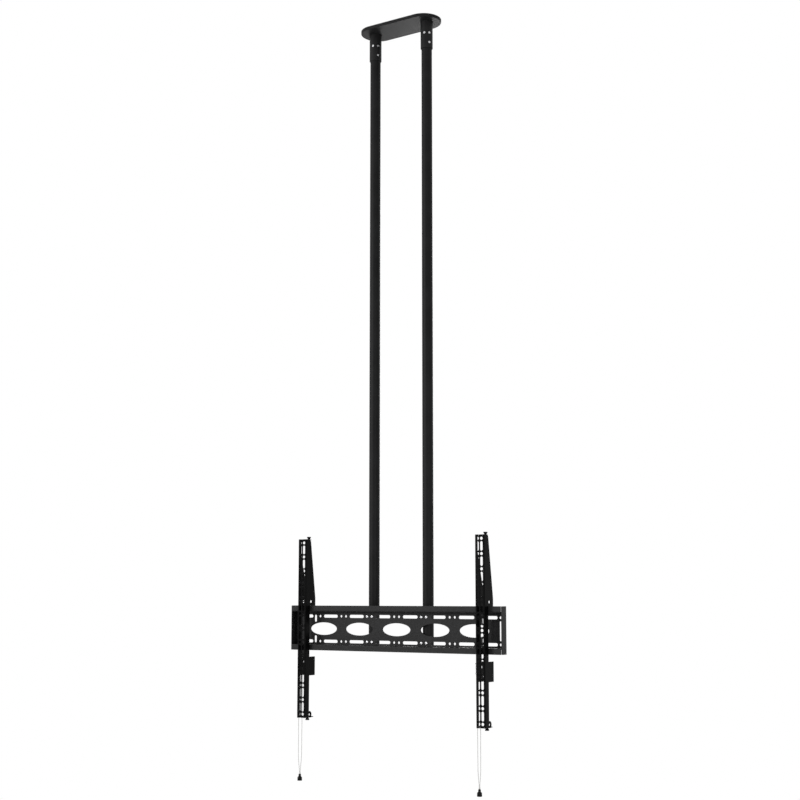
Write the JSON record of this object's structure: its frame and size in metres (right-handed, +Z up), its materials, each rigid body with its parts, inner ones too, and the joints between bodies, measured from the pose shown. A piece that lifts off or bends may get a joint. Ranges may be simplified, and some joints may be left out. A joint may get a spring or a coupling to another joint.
{
  "type": "tv ceiling mount",
  "caption": "Ceiling mount for a large flat screen: two long poles carry a slotted cross rail with two hook-on screen arms, each locked by a spring latch with a pull cord.",
  "frame": {"origin": "centre of the ceiling plate's top face, which lies against the ceiling", "axes": "+Z up into the ceiling, +X along the rail, +Y away from the screen side"},
  "size_m": [0.864, 0.1505, 2.7187],
  "materials": {
    "plate_paint": "black powder coat",
    "cover_paint": "black powder coat, satin",
    "pole_paint": "black powder coat, satin",
    "rail_paint": "black powder coat, fine texture",
    "arm_paint": "black powder coat, fine texture",
    "latch_paint": "black powder coat, satin",
    "fastener_zinc": "zinc plated, bright",
    "rivet_steel": "zinc plated",
    "spring_steel": "spring steel wire",
    "plug_plastic": "moulded, matte",
    "bobbin_plastic": "moulded, matte",
    "pull_plastic": "moulded, semi-gloss",
    "buffer_rubber": "moulded rubber, matte",
    "cord_fibre": "white braided cord"
  },
  "bodies": {
    "frame": {"ceiling_plate": "plate_paint", "socket_left": "plate_paint", "socket_right": "plate_paint", "set_screws_left": "fastener_zinc", "set_screws_right": "fastener_zinc", "pole_left": "pole_paint", "pole_right": "pole_paint", "pole_plug_left": "plug_plastic", "pole_plug_right": "plug_plastic", "rail_plate": "rail_paint", "rail_bolts_left": "fastener_zinc", "rail_bolts_right": "fastener_zinc", "saddle_upper_left": "pole_paint", "saddle_upper_right": "pole_paint", "saddle_lower_left": "pole_paint", "saddle_lower_right": "pole_paint"},
    "cover": {"ceiling_cover": "cover_paint"},
    "arm_left": {"arm_left": "arm_paint", "buffer_top_left": "buffer_rubber", "buffer_foot_left": "buffer_rubber", "guide_rivets_left": "rivet_steel", "spring_post_fixed_left": "rivet_steel", "latch_spring_left": "spring_steel"},
    "latch_left": {"latch_plate_left": "latch_paint", "spring_post_moving_left": "rivet_steel", "cord_bobbin_left": "bobbin_plastic", "pull_cord_left": "cord_fibre", "cord_knot_left": "cord_fibre", "cord_pull_left": "pull_plastic"},
    "arm_right": {"arm_right": "arm_paint", "buffer_top_right": "buffer_rubber", "buffer_foot_right": "buffer_rubber", "guide_rivets_right": "rivet_steel", "spring_post_fixed_right": "rivet_steel", "latch_spring_right": "spring_steel"},
    "latch_right": {"latch_plate_right": "latch_paint", "spring_post_moving_right": "rivet_steel", "cord_bobbin_right": "bobbin_plastic", "pull_cord_right": "cord_fibre", "cord_knot_right": "cord_fibre", "cord_pull_right": "pull_plastic"}
  },
  "joints": [
    {"name": "cover_slide", "type": "slide", "parent": "frame", "child": "cover", "axis": [0, 0, 1], "range_m": [-0.25, 0]},
    {"name": "arm_left_slide", "type": "slide", "parent": "frame", "child": "arm_left", "axis": [1, 0, 0], "range_m": [-0.0425, 0.265]},
    {"name": "latch_left_slide", "type": "slide", "parent": "arm_left", "child": "latch_left", "axis": [0, 0, 1], "range_m": [-0.012, 0], "stiffness_N_per_m": 300, "springref_m": 0.02, "deforming": ["latch_spring_left"]},
    {"name": "arm_right_slide", "type": "slide", "parent": "frame", "child": "arm_right", "axis": [1, 0, 0], "range_m": [-0.265, 0.045]},
    {"name": "latch_right_slide", "type": "slide", "parent": "arm_right", "child": "latch_right", "axis": [0, 0, 1], "range_m": [-0.012, 0], "stiffness_N_per_m": 300, "springref_m": 0.02, "deforming": ["latch_spring_right"]}
  ]
}
